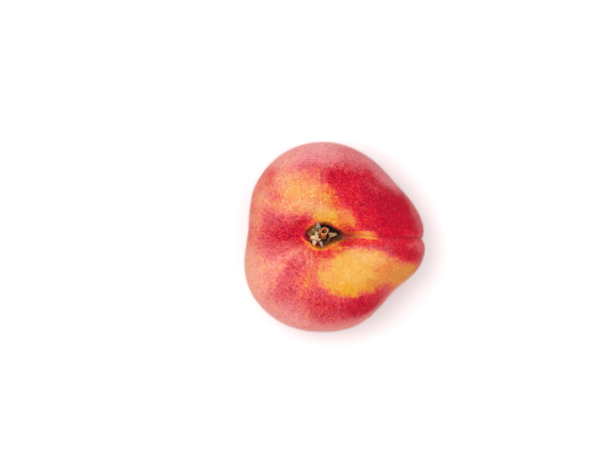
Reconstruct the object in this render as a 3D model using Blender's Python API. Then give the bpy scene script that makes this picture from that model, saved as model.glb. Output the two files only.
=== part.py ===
"""A flat peach as picked: one squat, lobed fruit with its suture, stalk pit and blossom basin,
and in the pit the broken stalk end inside a ring of dry bud scales.
Metres, +Z up. The origin is under the middle of the fruit, on the surface it rests on.
+X runs along the suture, and the bearings below are degrees from it, anticlockwise from above."""

import math
import random

import bmesh
import bpy
import numpy as np
from mathutils import Vector

MM = 0.001

# The outline from above: a smooth closed curve through these bearings and radii (mm) about the stalk pit.
OUTLINE = (
    (0, 38.8), (15, 36.8), (30, 34.2), (45, 33.6), (60, 34.3), (90, 35.1), (120, 34.0), (150, 30.6),
    (180, 28.2), (210, 33.4), (240, 36.5), (270, 36.8), (300, 35.9), (315, 34.3), (330, 35.8), (345, 39.0),
)

# The section through the axis is a superellipse, pressed in at both poles.
SECTION_POWER = 2.2
TOP_HALF = 24.6
BOTTOM_HALF = 22.4
TOP_DISH = (9.4, 0.43)  # depth in mm, and its reach as a share of the outline's radius
BASIN = (6.2, 0.40)
BLOSSOM_PIT = (1.6, 2.6)  # depth and radius in mm of the small hollow where the blossom was

# Swells and valleys of the upper side: bearing, height in mm (down if negative) and half-width in degrees.
TOP_SWELLS = (
    (48, 1.0, 26), (108, 1.6, 30), (180, -2.0, 22), (232, 1.2, 30), (312, 1.7, 28), (0, -2.3, 14),
)
UNDER_SWELLS = ((60, 0.5, 35), (180, -0.4, 25), (285, 0.6, 40), (0, -0.9, 14))

# The stalk pit, an oval drawn out towards the suture: bearings and radii (mm) of its lip about its axis.
PIT_LIP = (
    (0, 7.9), (28, 5.7), (56, 5.2), (92, 4.8), (126, 4.9), (150, 6.2), (180, 7.4), (206, 6.1), (232, 5.6),
    (262, 5.1), (292, 4.8), (318, 5.2), (340, 6.6),
)
PIT_DEPTH = 5.7
PIT_WALL = (0.74, 1.08)  # where the wall starts and ends, as shares of the lip's radius
PIT_SEARCH = 0.6  # a polar angle, in radians, that takes in the whole pit
PIT_SHARE = 0.172  # the lip's radius as a share of the rim's, where the rings of the grid follow the lip
PIT_REACH = (0.16, 0.52)  # shares of the rim's radius between which the rings change from lip to rim shape

# The suture crease: polar angle in degrees from the stalk, depth in mm and half-width in mm.
CREASE = (
    (0, 0.0, 1.0), (12, 1.7, 1.5), (25, 1.2, 1.1), (55, 0.9, 0.9), (80, 1.3, 1.4), (95, 1.6, 1.7),
    (120, 0.9, 1.3), (150, 0.6, 1.2), (172, 0.7, 1.0), (180, 0.0, 1.0),
)
CREASE_DRIFT = -1.6  # sideways shift of the crease at the rim, mm
CREASE_ROUND = 0.35  # how round its bottom is, as a share of its half-width
CREASE_START = 2.0  # how far from the pit's axis it has its full depth, mm

FLAT_CUT = 0.45  # how much the resting spot is pressed flat, mm

# Grid of the fruit, drawn together at the suture and at the poles.
AROUND = 84
DOWN = 50
SUTURE_PULL = 0.70
POLE_PULL = 0.62

# The stalk end and its scales stand in the pit, clear of it and of each other (mm).
GAP = 0.3
COLLAR_AT = (0.2, -0.6)  # from the pit's axis
COLLAR = (1.9, 2.6, 1.0)  # inner and outer radius and thickness of the ring that the scales grow from
COLLAR_EDGES = (0.6, 0.7)  # height of its outer and inner edge, as shares of its thickness
COLLAR_SIDES = 28
STALK_AT = (0.05, 0.05)  # from the middle of the collar
STALK_LEAN = (0.35, 2.2)  # how far its broken end stands over from its foot
STALK_PROFILE = (  # radius and height, from the foot up the outside and down into the hollow
    (1.30, 0.0), (1.38, 0.4), (1.30, 1.0), (1.22, 1.8), (1.18, 2.6), (1.26, 3.3), (1.40, 3.9), (1.44, 4.3),
    (1.30, 4.55), (1.04, 4.4), (0.82, 3.9), (0.70, 3.2),
)
STALK_SIDES = 22
STALK_BEND = 1.5  # 1 for a straight lean, more for one that grows towards the top
# Waves round its end: how many, their start, and how strong: a share of its radius, and mm of its height.
STALK_TORN = ((2, 0.6, 0.10), (5, 0.0, 0.06))
STALK_RAGGED = (3, 1.0, 0.24)

# The long scales: bearing of the root on the collar, then the middle that the scale bends towards and
# its tip (x, y from the middle of the collar and z from its foot), and its width.
LONG_SCALES = (
    (133, (-1.9, 3.1, 5.0), (-2.1, 5.2, 7.0), 1.7),
    (140, (-2.5, 1.7, 4.4), (-4.3, 2.5, 4.4), 1.9),
    (168, (-3.4, 0.9, 3.2), (-5.6, 1.1, 4.2), 1.9),
    (188, (-3.2, -0.8, 3.4), (-5.2, -0.8, 3.6), 1.8),
    (118, (-1.8, 3.2, 3.6), (-3.6, 3.8, 4.4), 1.3),
    (139, (-2.9, 2.9, 7.0), (-2.6, -0.8, 4.9), 1.3),
    (186, (-0.4, -0.6, 5.6), (-4.7, -0.2, 4.6), 2.2),
    (200, (-3.3, -0.6, 6.0), (-3.7, -3.2, 4.4), 2.0),
    (250, (-1.5, -0.9, 5.8), (-0.3, -4.0, 4.5), 1.0),
    (10, (1.7, 0.4, 6.2), (4.7, 1.0, 4.4), 1.8),
)
# The short scales stand all round between them: how many, their seed, and ranges of height and width.
SHORT_SCALES = 11
SHORT_SEED = 7
SHORT_HEIGHT = (1.5, 2.6)
SHORT_WIDTH = (1.7, 2.2)
SHORT_OUT = (0.1, 0.6)  # how far the tip stands out from the root
SHORT_UNDER = 0.5  # how much lower they are where the stalk end leans over them, as a share
SCALE_THICKNESS = 0.6
SCALE_ROOT = 0.4  # height of its root, as a share of the collar's thickness
SCALE_NECK = 0.22  # its narrowest width, as a share of the widest
SCALE_SWELL = (0.32, 0.94, 0.8)  # the stretch of a half wave that its width follows, and the wave's power
SCALE_STEPS = 6
SCALE_SIDES = 8


def clear_scene():
    """Removes the objects that a new file starts with."""
    for obj in list(bpy.data.objects):
        bpy.data.objects.remove(obj)


def material(name, colour, roughness):
    """A plain surface of one colour."""
    mat = bpy.data.materials.new(name)
    mat.use_nodes = True
    shader = mat.node_tree.nodes["Principled BSDF"]
    shader.inputs["Base Color"].default_value = (*colour, 1.0)
    shader.inputs["Roughness"].default_value = roughness
    shader.inputs["Metallic"].default_value = 0.0
    mat.diffuse_color = (*colour, 1.0)
    return mat


def smooth_step(low, high, value):
    """0 below low, 1 above high, and an even S between them."""
    share = np.clip((value - low) / (high - low), 0.0, 1.0)
    return share * share * (3 - 2 * share)


def closed_curve(knots, values, at):
    """A smooth closed curve through values at the knots (radians, once round), read at the angles given."""
    count = len(knots)
    step = np.diff(np.append(knots, knots[0] + 2 * math.pi))
    rise = np.diff(np.append(values, values[0])) / step
    matrix = np.zeros((count, count))
    for i in range(count):
        matrix[i, i - 1] = step[i]
        matrix[i, i] = 2 * (step[i - 1] + step[i])
        matrix[i, (i + 1) % count] = step[i - 1]
    slope = np.linalg.solve(matrix, 3 * (np.roll(step, 1) * rise + step * np.roll(rise, 1)))
    at = np.mod(at, 2 * math.pi)
    i = np.searchsorted(knots, at, side="right") - 1
    j = (i + 1) % count
    t = (at - knots[i]) / step[i]
    return (
        values[i] * (1 + 2 * t) * (1 - t) ** 2
        + step[i] * slope[i] * t * (1 - t) ** 2
        + values[j] * t * t * (3 - 2 * t)
        + step[i] * slope[j] * t * t * (t - 1)
    )


def polar_curve(points, theta):
    """Radius in mm, at the bearings given, of a smooth closed curve through bearing and radius pairs."""
    bearing, radius = np.array(points, float).T
    return closed_curve(np.radians(bearing), radius, theta)


def swell(theta, share, swells):
    """Height of the lobes and valleys, which fade out at the pole and at the rim."""
    total = np.zeros_like(theta)
    for bearing, height, width in swells:
        away = np.degrees(np.angle(np.exp(1j * (theta - math.radians(bearing)))))
        total += height * np.exp(-((away / width) ** 2))
    return total * 4 * share**2 * (1 - share**2)


def crease_depth(phi, x, y, radius):
    """Depth of the suture crease, a rounded V that runs along +X from pole to pole."""
    angle, depth, width = (np.array(column, float) for column in zip(*CREASE))
    depth = np.interp(np.degrees(phi), angle, depth)
    width = np.interp(np.degrees(phi), angle, width)
    middle = CREASE_DRIFT * (x / radius) ** 2
    away = np.hypot((y - middle) / width, CREASE_ROUND) - CREASE_ROUND
    return depth * np.exp(-away) * smooth_step(0.0, CREASE_START, x)


def fruit_surface(theta, phi):
    """Points of the skin, in mm from where the pit's axis meets the plane of the rim.
    theta is the bearing and phi the polar angle from the stalk, both in radians."""
    power = 2 / SECTION_POWER
    share = np.sin(phi) ** power
    lift = np.sign(np.cos(phi)) * np.abs(np.cos(phi)) ** power
    upper = lift > 0
    half = np.where(upper, TOP_HALF, BOTTOM_HALF)
    lip = polar_curve(PIT_LIP, theta)
    rim = polar_curve(OUTLINE, theta)
    near_pit = np.where(upper, 1 - smooth_step(*PIT_REACH, share), 0.0)
    radius = rim + (lip / PIT_SHARE - rim) * near_pit
    r = radius * share
    z = half * lift
    x = r * np.cos(theta)
    y = r * np.sin(theta)

    # The outward direction of the superellipse, along which the crease is pressed in.
    out_r = share ** (SECTION_POWER - 1) / rim
    out_z = np.sign(lift) * np.abs(lift) ** (SECTION_POWER - 1) / half
    length = np.hypot(out_r, out_z)
    crease = crease_depth(phi, x, y, rim)
    x = x - crease * out_r / length * np.cos(theta)
    y = y - crease * out_r / length * np.sin(theta)
    z = z - crease * out_z / length

    # The dish, the lobes and the stalk pit of the upper side.
    top = -TOP_DISH[0] * np.exp(-((share / TOP_DISH[1]) ** 2))
    top += swell(theta, share, TOP_SWELLS)
    top -= PIT_DEPTH * (1 - smooth_step(*PIT_WALL, r / lip))

    # The basin, the lobes and the blossom end of the underside.
    under = BASIN[0] * np.exp(-((share / BASIN[1]) ** 2))
    under -= swell(theta, share, UNDER_SWELLS)
    under += BLOSSOM_PIT[0] * np.exp(-((r / BLOSSOM_PIT[1]) ** 2))
    return x, y, z + np.where(upper, top, under)


def grid_angles(unit_x, unit_y, unit_z):
    """Bearing and polar angle of a point of the unit sphere, drawn towards the suture and the poles."""
    turn = np.arctan2(unit_y, unit_x)
    fall = np.arccos(np.clip(unit_z, -1.0, 1.0))
    return turn - SUTURE_PULL * np.sin(turn), fall - POLE_PULL * np.sin(2 * fall) / 2


def link(name, bm, mat):
    """Turns a bmesh into an object of the scene, shaded smooth."""
    mesh = bpy.data.meshes.new(name)
    bmesh.ops.recalc_face_normals(bm, faces=bm.faces)
    bm.to_mesh(mesh)
    bm.free()
    mesh.shade_smooth()
    mesh.materials.append(mat)
    obj = bpy.data.objects.new(name, mesh)
    bpy.context.scene.collection.objects.link(obj)
    return obj


def build_fruit(mat):
    """The fruit, and the point (mm) of its own frame that lies under its middle, at its resting level."""
    bm = bmesh.new()
    bmesh.ops.create_uvsphere(bm, u_segments=AROUND, v_segments=DOWN, radius=1.0)
    unit = np.array([vert.co for vert in bm.verts])
    places = np.stack(fruit_surface(*grid_angles(*unit.T)), axis=1)
    rest = places[:, 2].min() + FLAT_CUT
    places[:, 2] = np.maximum(places[:, 2], rest)
    low, high = places.min(axis=0), places.max(axis=0)
    base = np.array([(low[0] + high[0]) / 2, (low[1] + high[1]) / 2, rest])
    for vert, place in zip(bm.verts, (places - base) * MM):
        vert.co = place
    return link("fruit", bm, mat), base


def pit_floor(x, y):
    """Height (mm) of the skin under the collar at x, y, in the fruit's own frame."""
    theta = np.linspace(0, 2 * math.pi, AROUND)
    phi = np.linspace(0, PIT_SEARCH, 4 * DOWN)[1:]
    px, py, pz = fruit_surface(*np.meshgrid(theta, phi))
    return pz[np.hypot(px - x, py - y) < COLLAR[1] + GAP].max()


def skin_rings(bm, rings):
    """Joins rings of points one to the next, and closes the first and the last."""
    loops = [[bm.verts.new(point * MM) for point in ring] for ring in rings]
    sides = len(loops[0])
    for lower, upper in zip(loops, loops[1:]):
        for i in range(sides):
            j = (i + 1) % sides
            bm.faces.new((lower[i], lower[j], upper[j], upper[i]))
    bm.faces.new(list(reversed(loops[0])))
    bm.faces.new(loops[-1])


def build_stalk(mat, foot):
    """The broken stalk end: a short leaning stub with a flared foot and a hollow in its torn top."""
    tallest = max(height for _, height in STALK_PROFILE)
    rings = []
    for radius, height in STALK_PROFILE:
        rise = height / tallest
        lean = Vector((*STALK_LEAN, 0.0)) * rise**STALK_BEND
        ring = []
        for i in range(STALK_SIDES):
            angle = 2 * math.pi * i / STALK_SIDES
            torn = sum(share * math.sin(waves * angle + start) for waves, start, share in STALK_TORN)
            waves, start, rough = STALK_RAGGED
            ragged = rough * math.sin(waves * angle + start) * rise**2
            out = radius * (1 + rise * torn)
            ring.append(Vector((out * math.cos(angle), out * math.sin(angle), height + ragged)) + lean)
        rings.append(ring)
    bm = bmesh.new()
    skin_rings(bm, rings)
    stalk = link("stalk_stub", bm, mat)
    stalk.location = foot
    return stalk


def collar_point(bearing, radius, height):
    """A point (mm) at a bearing, radius and height from the middle of the collar's foot."""
    angle = math.radians(bearing)
    return Vector((radius * math.cos(angle), radius * math.sin(angle), height))


def build_scale(bearing, middle, tip, width, mat):
    """One dry bud scale: a curved blade, lens-shaped in section, that grows from the collar."""
    root = collar_point(bearing, (COLLAR[0] + COLLAR[1]) / 2, COLLAR[2] * SCALE_ROOT)
    across = (tip - root).cross(Vector((0.0, 0.0, 1.0))).normalized()
    rings = []
    for step in range(SCALE_STEPS + 1):
        t = step / SCALE_STEPS
        centre = root * (1 - t) ** 2 + middle * 2 * t * (1 - t) + tip * t * t
        along = ((middle - root) * (1 - t) + (tip - middle) * t).normalized()
        face = across.cross(along).normalized()
        start, stop, power = SCALE_SWELL
        wave = math.sin(math.pi * (start + (stop - start) * t)) ** power
        half = width / 2 * (SCALE_NECK + (1 - SCALE_NECK) * wave)
        thin = SCALE_THICKNESS / 2
        turns = [2 * math.pi * i / SCALE_SIDES for i in range(SCALE_SIDES)]
        rings.append([
            centre + across * half * math.cos(turn) + face * thin * math.sin(turn) for turn in turns
        ])
    bm = bmesh.new()
    skin_rings(bm, rings)
    return link("scale", bm, mat)


def room_under_stalk(bearing):
    """What share of its height a short scale keeps, for the stalk end leans over some of them."""
    away = math.radians(bearing) - math.atan2(STALK_LEAN[1], STALK_LEAN[0])
    return 1 - SHORT_UNDER * max(0.0, math.cos(away)) ** 2


def short_scales():
    """Root bearing, middle, tip and width of the short scales, evenly round with a seeded scatter."""
    draw = random.Random(SHORT_SEED)
    middle_radius = (COLLAR[0] + COLLAR[1]) / 2
    for i in range(SHORT_SCALES):
        bearing = 360 * (i + draw.uniform(-0.25, 0.25)) / SHORT_SCALES
        height = draw.uniform(*SHORT_HEIGHT) * room_under_stalk(bearing)
        radius = middle_radius + draw.uniform(*SHORT_OUT)
        middle = collar_point(bearing, radius, height / 2)
        yield bearing, middle, collar_point(bearing, radius, height), draw.uniform(*SHORT_WIDTH)


def build_collar(mat):
    """The ring that the scales grow from."""
    inner, outer, thickness = COLLAR
    profile = (
        (inner, 0.0), (outer, 0.0), (outer, thickness * COLLAR_EDGES[0]),
        ((inner + outer) / 2, thickness), (inner, thickness * COLLAR_EDGES[1]),
    )
    bm = bmesh.new()
    loops = []
    for i in range(COLLAR_SIDES):
        turn = 360 * i / COLLAR_SIDES
        loops.append([bm.verts.new(collar_point(turn, radius, height) * MM) for radius, height in profile])
    for i, loop in enumerate(loops):
        following = loops[(i + 1) % COLLAR_SIDES]
        for k in range(len(profile)):
            m = (k + 1) % len(profile)
            bm.faces.new((loop[k], following[k], following[m], loop[m]))
    return link("bud_scales", bm, mat)


def build_scales(mat, foot):
    """The collar with all its scales, joined into one body."""
    collar = build_collar(mat)
    group = bpy.data.collections.new("scale_group")
    bpy.context.scene.collection.children.link(group)
    long_scales = [(root, Vector(middle), Vector(tip), width) for root, middle, tip, width in LONG_SCALES]
    for scale_shape in long_scales + list(short_scales()):
        scale = build_scale(*scale_shape, mat)
        bpy.context.scene.collection.objects.unlink(scale)
        group.objects.link(scale)
    union = collar.modifiers.new("union", "BOOLEAN")
    union.operation = "UNION"
    union.operand_type = "COLLECTION"
    union.collection = group
    bpy.context.view_layer.update()
    joined = bpy.data.meshes.new_from_object(collar.evaluated_get(bpy.context.evaluated_depsgraph_get()))
    collar.modifiers.clear()
    collar.data = joined
    for scale in list(group.objects):
        bpy.data.objects.remove(scale)
    bpy.data.collections.remove(group)
    collar.location = foot
    return collar


def main():
    clear_scene()
    skin = material("skin", (0.72, 0.16, 0.10), 0.65)
    bark = material("stalk_bark", (0.36, 0.17, 0.07), 0.85)
    husk = material("dry_scale", (0.55, 0.42, 0.26), 0.85)
    _, base = build_fruit(skin)
    foot = Vector((np.array([*COLLAR_AT, pit_floor(*COLLAR_AT) + GAP]) - base) * MM)
    build_stalk(bark, foot + Vector((*STALK_AT, 0.0)) * MM)
    build_scales(husk, foot)


main()
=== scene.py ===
"""The looks of one flat peach: its downy, blushed skin, and in its pit the stalk end and dry bud scales.
The shapes repeat the formulas of the construction, in mm, on a finer grid and with the small relief added.
+X runs along the suture, and bearings are degrees from it, anticlockwise from above."""

import math
import random

import bpy
import numpy as np
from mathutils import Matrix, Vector, noise


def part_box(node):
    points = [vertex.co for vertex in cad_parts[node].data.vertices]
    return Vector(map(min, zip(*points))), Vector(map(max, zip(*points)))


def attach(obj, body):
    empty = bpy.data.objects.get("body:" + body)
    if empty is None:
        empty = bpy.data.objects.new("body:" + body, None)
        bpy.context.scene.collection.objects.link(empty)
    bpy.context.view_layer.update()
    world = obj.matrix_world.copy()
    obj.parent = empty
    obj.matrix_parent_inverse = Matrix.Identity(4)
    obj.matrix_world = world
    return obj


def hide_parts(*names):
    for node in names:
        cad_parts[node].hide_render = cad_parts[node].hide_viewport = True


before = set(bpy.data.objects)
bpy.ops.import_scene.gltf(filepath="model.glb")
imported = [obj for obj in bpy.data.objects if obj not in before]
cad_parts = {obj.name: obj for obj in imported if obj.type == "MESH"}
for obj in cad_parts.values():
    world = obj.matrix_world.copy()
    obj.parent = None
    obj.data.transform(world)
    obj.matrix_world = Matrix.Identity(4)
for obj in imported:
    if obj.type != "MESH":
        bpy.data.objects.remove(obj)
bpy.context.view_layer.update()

MM = 0.001

# The fruit's driving sizes, the same as in its construction: bearings and radii of the outline about the pit.
OUTLINE = (
    (0, 38.8), (15, 36.8), (30, 34.2), (45, 33.6), (60, 34.3), (90, 35.1), (120, 34), (150, 30.6),
    (180, 28.2), (210, 33.4), (240, 36.5), (270, 36.8), (300, 35.9), (315, 34.3), (330, 35.8), (345, 39),
)
SECTION_POWER = 2.2
TOP_HALF = 24.6
BOTTOM_HALF = 22.4
TOP_DISH = (9.4, 0.43)
BASIN = (6.2, 0.4)
BLOSSOM_PIT = (1.6, 2.6)
TOP_SWELLS = (
    (48, 1, 26), (108, 1.6, 30), (180, -2, 22), (232, 1.2, 30), (312, 1.7, 28), (0, -2.3, 14),
)
UNDER_SWELLS = ((60, 0.5, 35), (180, -0.4, 25), (285, 0.6, 40), (0, -0.9, 14))
PIT_LIP = (
    (0, 7.9), (28, 5.7), (56, 5.2), (92, 4.8), (126, 4.9), (150, 6.2), (180, 7.4), (206, 6.1), (232, 5.6),
    (262, 5.1), (292, 4.8), (318, 5.2), (340, 6.6),
)
PIT_DEPTH = 5.7
PIT_WALL = (0.74, 1.08)
PIT_SHARE = 0.172
PIT_REACH = (0.16, 0.52)
CREASE = (
    (0, 0, 1), (12, 1.7, 1.5), (25, 1.2, 1.1), (55, 0.9, 0.9), (80, 1.3, 1.4), (95, 1.6, 1.7),
    (120, 0.9, 1.3), (150, 0.6, 1.2), (172, 0.7, 1), (180, 0, 1),
)
CREASE_DRIFT = -1.6
CREASE_ROUND = 0.35
CREASE_START = 2
FLAT_CUT = 0.45
SUTURE_PULL = 0.7
POLE_PULL = 0.62

# The grid of the skin, finer than in the construction, and its flat map of two discs.
AROUND = 372
DOWN = 200
DISC_RADIUS = 0.235

# The fine relief of the skin, in mm. Kinds of noise have strength, wavelength and start.
DIMPLES = ((0.2, 11, 11), (0.08, 4.2, 4.2), (0.022, 1.5, 1.5))
GROOVE = (0.14, 0.24)  # the sharp line at the bottom of the crease: depth and half-width
PLEATS = (0.07, 23)  # the puckers round the pit: height, and how many there are
PLEAT_REACH = (0.8, 1.02, 1.75)  # where they start, are highest and end, as shares of the lip's radius
PLEAT_WANDER = (5, 2.5)  # how they stray from straight: wavelength in mm, and how far

# The down: short hairs all over, split over a few pieces.
DOWN_PIECES = 4
HAIRS_EACH = 46000
HAIR_LENGTH = (0.42, 0.86)
HAIR_WIDTH = 0.03
HAIR_TILT = 13  # degrees from upright, at most
HAIR_LAY = 4  # degrees by which all lean away from the stalk
HAIR_ROOT = 0.05  # how far a root is sunk
HAIR_WHITE = (0.02, 0.55)  # how white they are on bare and on pale skin
HAIR_FLANK_SHEEN = (21, 8, 2, 0.22)  # painted sheen, whiter hairs on the flank: its height, from and to how far off, how much
HAIR_CLEAR = (1.02, 1.7)  # fewer and shorter towards the pit, between these shares of the lip's radius
HAIR_SHORT = 0.4  # how short they get there
HAIR_ABOVE = 0.1  # no tip is closer to the ground
HAIR_ON_MAP = 2 / 1024  # its size on the flat map
DOWN_SEED = 11

# The stalk end and its scales (mm), as in the construction.
COLLAR_AT = (0.2, -0.6)
COLLAR = (1.9, 2.6)
STALK_AT = (0.05, 0.05)
STALK_LEAN = (0.35, 2.2)
STALK_BEND = 1.5
STALK_PROFILE = (
    (1.3, 0), (1.38, 0.4), (1.3, 1), (1.22, 1.8), (1.18, 2.6), (1.26, 3.3), (1.4, 3.9), (1.44, 4.3),
    (1.3, 4.55), (1.04, 4.4), (0.82, 3.9), (0.7, 3.2),
)
STALK_FLOOR = ((0.36, 3.15), (0.02, 3.15))  # the bottom of the hollow, in to the middle
PITH = (38, 0.24, 1.2)  # the ridge across the hollow: bearing, half-width and height
STALK_TORN = ((2, 0.6, 0.1), (5, 0, 0.06))
STALK_RAGGED = (3, 1, 0.24)
STALK_SIDES, STALK_STEPS = 120, 96
STALK_GRAIN = (2, 2, 0.22)  # how close the fibres are round it and up it
FIBRES = ((1, 0.3, 0), (0.5, 0.13, 5))  # kinds of noise
SPLINTERS = ((1, 0.42, 9), (0.7, 0.17, 2))
STALK_FIBRE = 0.1  # relief of the fibres
STALK_EDGE = (0.55, 0.42, 0.1)  # the torn rim: its width, how tall the splinters are, how much it is raised
STALK_HOLLOW = (0.35, 0.9, 0.9)  # from and to how far past the rim the hollow sinks, and how deep

# The scales: grid, thickness of the long and the short ones, and height of the roots.
SCALE_STEPS, SCALE_SIDES = 22, 24
LONG_THICK, SHORT_THICK = 0.55, 0.4
SCALE_ROOT = 0.1
SCALE_TAPER = (0.22, 0.78, 0.32, 0.62, 0.8)  # width: least, and how much, start, run and power of a sine
SCALE_THIN = (0.55, 0.45)  # thinner at the tip and at the sides by this
SCALE_CUP = (0.3, 0.15)  # sides up and middle down, as shares of the half-width
SCALE_RIBS = (0.06, 15)  # height, and how close they are
SCALE_BEND, SCALE_TORN, SCALE_RAGGED = 0.24, 0.17, 0.2
SCALE_TEARS = ((1, 0.55, 0), (0.6, 0.21, 4))  # kinds of noise

# The camera looks straight down. The photograph is 600 by 450 pixels.
FRAME_WIDTH = 600
PIXEL = 0.38176  # mm on the plane of the fruit's rim
FRAME_CENTRE = (-13.2, 4.6, 19)  # what the middle of the frame looks at, mm
CAMERA_HEIGHT = 900
SENSOR = 36

# The lights: place and size in metres, and power.
LIGHTS = {
    "key": ((-0.42, 0.2, 1.05), 0.7, 7),
    "fill": ((0.62, 0.22, 1.05), 1.2, 3.4),
    "low": ((-0.1, -0.95, 0.55), 0.9, 2),
}
LIGHT_AIM = (0, 0, 0.02)
SURROUND = 0.74  # strength of the white all round
FLOOR_HALF, FLOOR_HEIGHT = 1.6, -0.0002
FLOOR_COLOUR = (0.92, 0.92, 0.925, 1)


def columns(*values):
    """The values side by side, as the last axis of one array."""
    return np.stack(np.broadcast_arrays(*values), axis=-1)


def smooth_step(low, high, value):
    """0 below low, 1 above high, and an even S between them."""
    share = np.clip((value - low) / (high - low), 0, 1)
    return share * share * (3 - 2 * share)


def polar_curve(points, theta):
    """Radius in mm, at the bearings given, of a smooth closed curve through bearing and radius pairs."""
    bearing, radius = np.array(points, float).T
    bearing = np.radians(bearing)
    count = len(bearing)
    step = np.diff(np.append(bearing, bearing[0] + 2 * math.pi))
    rise = np.diff(np.append(radius, radius[0])) / step
    matrix = np.zeros((count, count))
    for i in range(count):
        matrix[i, i - 1] = step[i]
        matrix[i, i] = 2 * (step[i - 1] + step[i])
        matrix[i, (i + 1) % count] = step[i - 1]
    slope = np.linalg.solve(matrix, 3 * (np.roll(step, 1) * rise + step * np.roll(rise, 1)))
    theta = np.mod(theta, 2 * math.pi)
    i = np.searchsorted(bearing, theta, side="right") - 1
    j = (i + 1) % count
    t = (theta - bearing[i]) / step[i]
    return (
        radius[i] * (1 + 2 * t) * (1 - t) ** 2
        + step[i] * slope[i] * t * (1 - t) ** 2
        + radius[j] * t * t * (3 - 2 * t)
        + step[i] * slope[j] * t * t * (t - 1)
    )


def swell(theta, share, swells):
    """Height of the lobes and valleys, which fade out at the pole and at the rim."""
    total = np.zeros_like(theta)
    for bearing, height, width in swells:
        away = np.degrees(np.angle(np.exp(1j * (theta - math.radians(bearing)))))
        total += height * np.exp(-((away / width) ** 2))
    return total * 4 * share**2 * (1 - share**2)


def crease_offset(x, y, radius):
    """Distance in mm sideways from the middle of the suture crease."""
    return y - CREASE_DRIFT * (x / radius) ** 2


def crease_depth(phi, x, y, radius):
    """Depth of the suture crease, a rounded V along +X from pole to pole, with a sharp line in it."""
    angle, depth, width = (np.array(column, float) for column in zip(*CREASE))
    depth = np.interp(np.degrees(phi), angle, depth)
    width = np.interp(np.degrees(phi), angle, width)
    offset = crease_offset(x, y, radius)
    away = np.hypot(offset / width, CREASE_ROUND) - CREASE_ROUND
    line = GROOVE[0] * np.exp(-((offset / GROOVE[1]) ** 2)) * np.clip(depth, 0, 1)
    return (depth * np.exp(-away) + line) * smooth_step(0, CREASE_START, x)


def fruit_surface(theta, phi):
    """Points of the skin, in mm from where the pit's axis meets the plane of the rim, and two measures of
    them: the radius as a share of the pit lip's, and the distance from the crease.
    theta is the bearing and phi the polar angle from the stalk, both in radians."""
    power = 2 / SECTION_POWER
    share = np.sin(phi) ** power
    lift = np.sign(np.cos(phi)) * np.abs(np.cos(phi)) ** power
    upper = lift > 0
    half = np.where(upper, TOP_HALF, BOTTOM_HALF)
    lip = polar_curve(PIT_LIP, theta)
    rim = polar_curve(OUTLINE, theta)
    near_pit = np.where(upper, 1 - smooth_step(*PIT_REACH, share), 0)
    radius = rim + (lip / PIT_SHARE - rim) * near_pit
    r = radius * share
    z = half * lift
    x = r * np.cos(theta)
    y = r * np.sin(theta)

    out_r = share ** (SECTION_POWER - 1) / rim
    out_z = np.sign(lift) * np.abs(lift) ** (SECTION_POWER - 1) / half
    length = np.hypot(out_r, out_z)
    crease = crease_depth(phi, x, y, rim)
    offset = np.where(x > 0, crease_offset(x, y, rim), r)
    x = x - crease * out_r / length * np.cos(theta)
    y = y - crease * out_r / length * np.sin(theta)
    z = z - crease * out_z / length

    top = -TOP_DISH[0] * np.exp(-((share / TOP_DISH[1]) ** 2))
    top += swell(theta, share, TOP_SWELLS)
    top -= PIT_DEPTH * (1 - smooth_step(*PIT_WALL, r / lip))

    under = BASIN[0] * np.exp(-((share / BASIN[1]) ** 2))
    under -= swell(theta, share, UNDER_SWELLS)
    under += BLOSSOM_PIT[0] * np.exp(-((r / BLOSSOM_PIT[1]) ** 2))
    in_pit = np.where(upper, r / lip, 9)
    return columns(x, y, z + np.where(upper, top, under)), in_pit, offset


def grid_angles():
    """Bearings and polar angles of the grid's rings, drawn together at the suture and at the poles."""
    turn = np.linspace(-math.pi, math.pi, AROUND, endpoint=False)
    fall = np.linspace(0, math.pi, DOWN + 1)[1:-1]
    return turn - SUTURE_PULL * np.sin(turn), fall - POLE_PULL * np.sin(2 * fall) / 2


def noise_at(points, wavelength, start=0):
    """Smooth noise, about -1 to 1, at points in mm, as an array of their shape."""
    points = points / wavelength + start
    return np.reshape([noise.noise(Vector(p)) for p in points.reshape(-1, 3)], points.shape[:-1])


def noises(points, kinds):
    """The sum of a few kinds of noise."""
    return sum(strength * noise_at(points, wavelength, start) for strength, wavelength, start in kinds)


def add_object(name, data):
    obj = bpy.data.objects.new(name, data)
    bpy.context.scene.collection.objects.link(obj)
    return obj


def mesh_from(name, points, faces, material):
    """A smooth object from points in metres and faces of equal length."""
    mesh = bpy.data.meshes.new(name)
    mesh.vertices.add(len(points))
    mesh.vertices.foreach_set("co", np.asarray(points, np.float32).ravel())
    mesh.loops.add(faces.size)
    mesh.loops.foreach_set("vertex_index", faces.astype(np.int32).ravel())
    mesh.polygons.add(len(faces))
    mesh.polygons.foreach_set("loop_start", np.arange(0, faces.size, faces.shape[1], dtype=np.int32))
    mesh.update(calc_edges=True)
    mesh.validate()
    mesh.shade_smooth()
    mesh.materials.append(material)
    return add_object(name, mesh)


def tube_faces(rings, sides, start=0, flip=False):
    """Triangles of a closed tube: between its rings of points, and from the first and last ring to two points
    that come after them all."""
    i = np.arange(sides)
    j = (i + 1) % sides
    low = start + np.arange(rings - 1)[:, None] * sides
    high = low + sides
    halves = columns(low + i, low + j, high + j), columns(low + i, high + j, high + i)
    body = np.stack(halves, axis=1).reshape(-1, 3)
    if flip:
        body, i, j = body[:, ::-1], j, i
    tip = start + rings * sides
    last = tip - sides
    return np.concatenate((body, columns(start + j, start + i, tip), columns(last + i, last + j, tip + 1)))


def with_ends(rings):
    """The points of all the rings, then the middle of the first ring and of the last."""
    return np.concatenate((rings.reshape(-1, 3), (rings[0].mean(axis=0), rings[-1].mean(axis=0))))


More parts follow.
